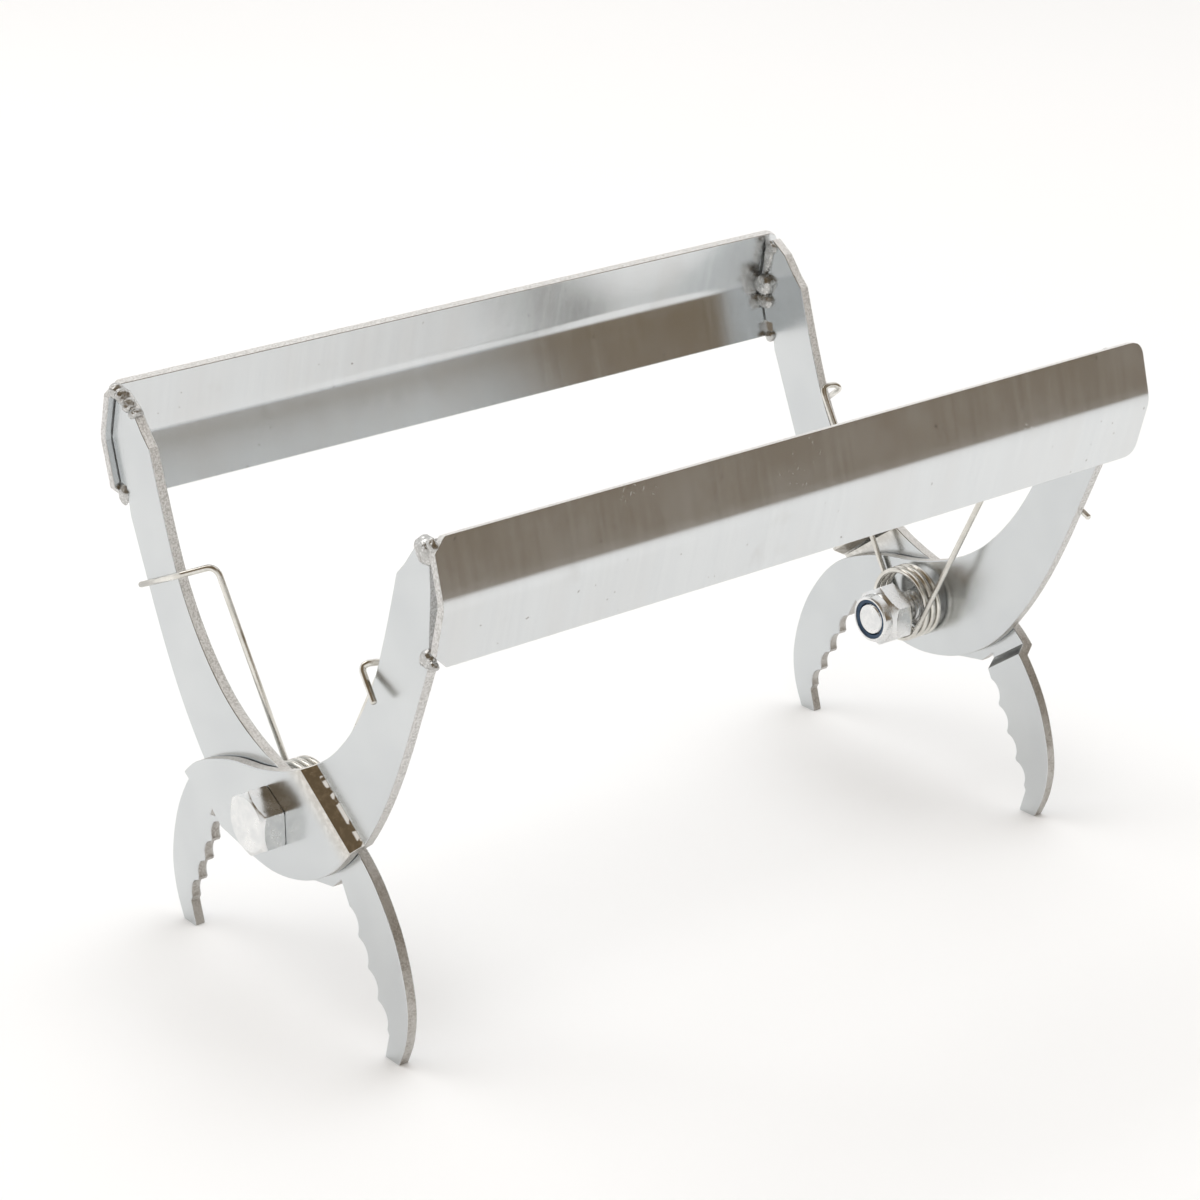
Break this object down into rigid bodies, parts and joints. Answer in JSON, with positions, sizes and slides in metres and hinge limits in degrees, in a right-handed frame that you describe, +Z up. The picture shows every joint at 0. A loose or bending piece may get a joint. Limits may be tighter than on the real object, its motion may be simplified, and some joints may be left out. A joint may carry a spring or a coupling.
{
  "type": "beehive frame grip",
  "caption": "Two folded steel handle bars joined at each end by crossing toothed-jaw plates on a pivot bolt, held open by wire torsion springs; squeezing the bars closes the jaws.",
  "frame": {"origin": "midway between the four jaw tips, at the level they stand on", "axes": "+Y along the handle bars from the near end to the far end, +Z up from the jaw tips to the handle bars, +X across the handles towards the front bar"},
  "size_m": [0.1254, 0.2034, 0.1214],
  "materials": {
    "sheet_steel": "satin, lightly scratched",
    "weld_metal": "rough beads, slightly heat-stained",
    "zinc_steel": "bright zinc plate",
    "blue_nylon": "matte",
    "spring_wire": "smooth drawn wire"
  },
  "bodies": {
    "back_handle": {"back_bar": "sheet_steel", "back_plate_near": "sheet_steel", "back_plate_far": "sheet_steel", "back_welds_near": "weld_metal", "back_welds_far": "weld_metal", "bolt_near": "zinc_steel", "bolt_far": "zinc_steel", "lock_nut_near": "zinc_steel", "lock_nut_far": "zinc_steel", "nylon_insert_near": "blue_nylon", "nylon_insert_far": "blue_nylon", "spring_near_back": "spring_wire", "spring_far_back": "spring_wire"},
    "front_handle": {"front_bar": "sheet_steel", "front_plate_near": "sheet_steel", "front_plate_far": "sheet_steel", "front_welds_near": "weld_metal", "front_welds_far": "weld_metal", "spring_near_front": "spring_wire", "spring_far_front": "spring_wire"}
  },
  "joints": [
    {"name": "squeeze", "type": "hinge", "parent": "back_handle", "child": "front_handle", "pos_m": [0, 0, 0.0415], "axis": [0, -1, 0], "range_deg": [0, 60], "stiffness_Nm_per_rad": 0.4, "springref_deg": -34.38}
  ]
}
